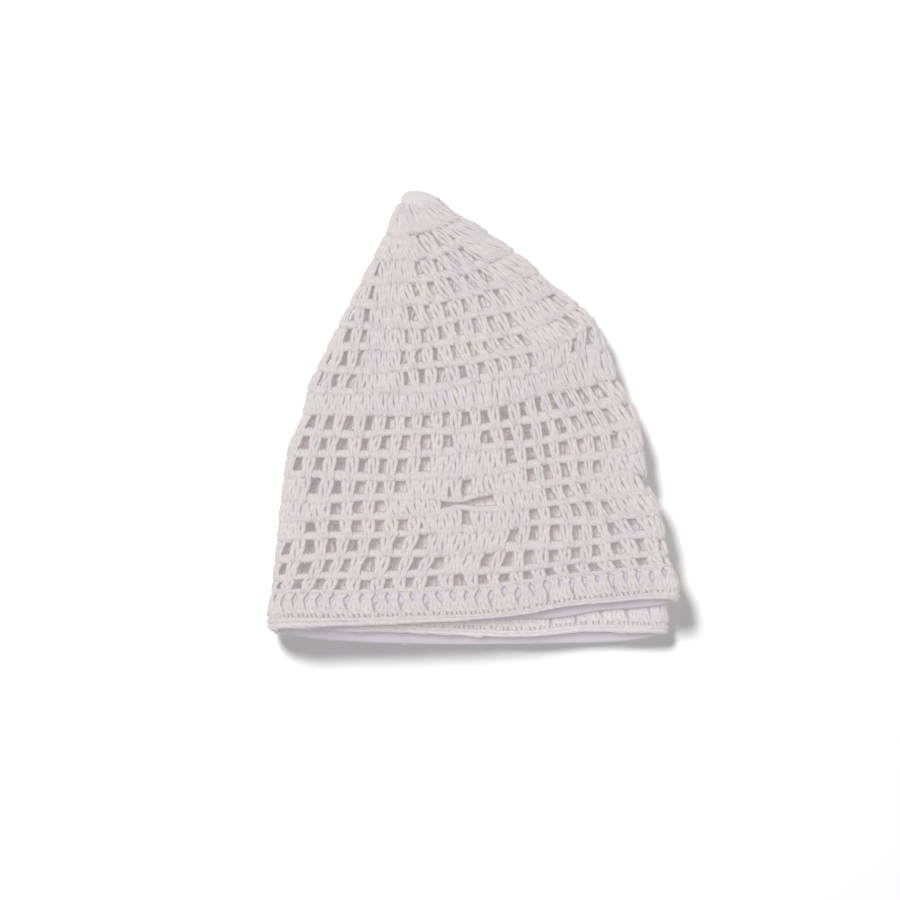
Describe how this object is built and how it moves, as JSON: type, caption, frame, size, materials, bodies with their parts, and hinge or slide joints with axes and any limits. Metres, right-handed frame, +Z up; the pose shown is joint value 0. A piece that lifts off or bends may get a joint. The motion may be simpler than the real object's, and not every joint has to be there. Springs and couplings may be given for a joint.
{
  "type": "kufi",
  "caption": "Crocheted net kufi folded in quarters and lying flat: pierced side with diamond motifs, closed crown centre, ribbed hem with a chain edge and a smooth cloth lining strip inside.",
  "frame": {"origin": "on the floor under the middle of the folded cap's bounding box", "axes": "+Z up from the floor the cap lies on, +Y towards the tip of the crown, +X towards the two open folds"},
  "size_m": [0.1444, 0.159, 0.0249],
  "materials": {
    "cotton_yarn": "matt mercerised cotton yarn",
    "lining_cloth": "smooth woven cloth"
  },
  "bodies": {
    "root": {"crown": "cotton_yarn", "side_net": "cotton_yarn", "hem_band": "cotton_yarn", "lining_strip": "lining_cloth"}
  },
  "joints": []
}
